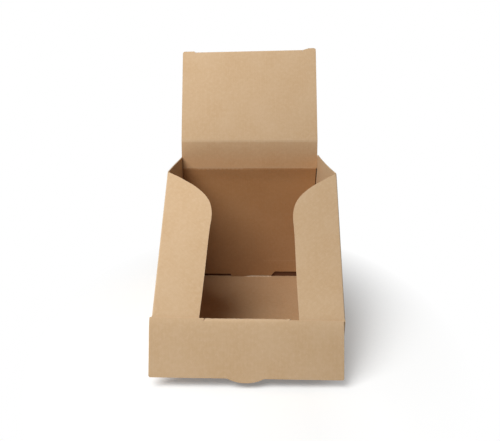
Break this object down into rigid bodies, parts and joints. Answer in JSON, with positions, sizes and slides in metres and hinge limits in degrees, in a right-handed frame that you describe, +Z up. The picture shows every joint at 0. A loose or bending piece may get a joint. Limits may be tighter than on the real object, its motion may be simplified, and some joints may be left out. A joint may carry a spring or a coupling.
{
  "type": "corrugated counter display box",
  "caption": "Folded corrugated counter display box with a sloping open mouth between side wings, a rolled front edge with a hanging lock flap, and a creased header that leans back.",
  "frame": {"origin": "middle of the floor's underside, where the box stands", "axes": "+Z up, +Y from the open front to the back wall, +X to the right as seen from the front"},
  "size_m": [0.16, 0.2621, 0.2728],
  "materials": {
    "kraft_board": "uncoated brown kraft liner on microflute, matt, paler at the cut edges"
  },
  "bodies": {
    "tray": {"tray": "kraft_board"},
    "front_flap": {"front_flap": "kraft_board"},
    "header_strip": {"header_strip": "kraft_board"},
    "header_panel": {"header_panel": "kraft_board"}
  },
  "joints": [
    {"name": "lid_crease", "type": "hinge", "parent": "tray", "child": "header_strip", "pos_m": [0, 0.0962, 0.1405], "axis": [-1, 0, 0], "range_deg": [-8, 82]},
    {"name": "panel_crease", "type": "hinge", "parent": "header_strip", "child": "header_panel", "pos_m": [0, 0.10065, 0.17219], "axis": [-1, 0, 0], "range_deg": [-105, 60]},
    {"name": "flap_crease", "type": "hinge", "parent": "tray", "child": "front_flap", "pos_m": [0, -0.09987, 0.05245], "axis": [-1, 0, 0], "range_deg": [-20, 150]}
  ]
}
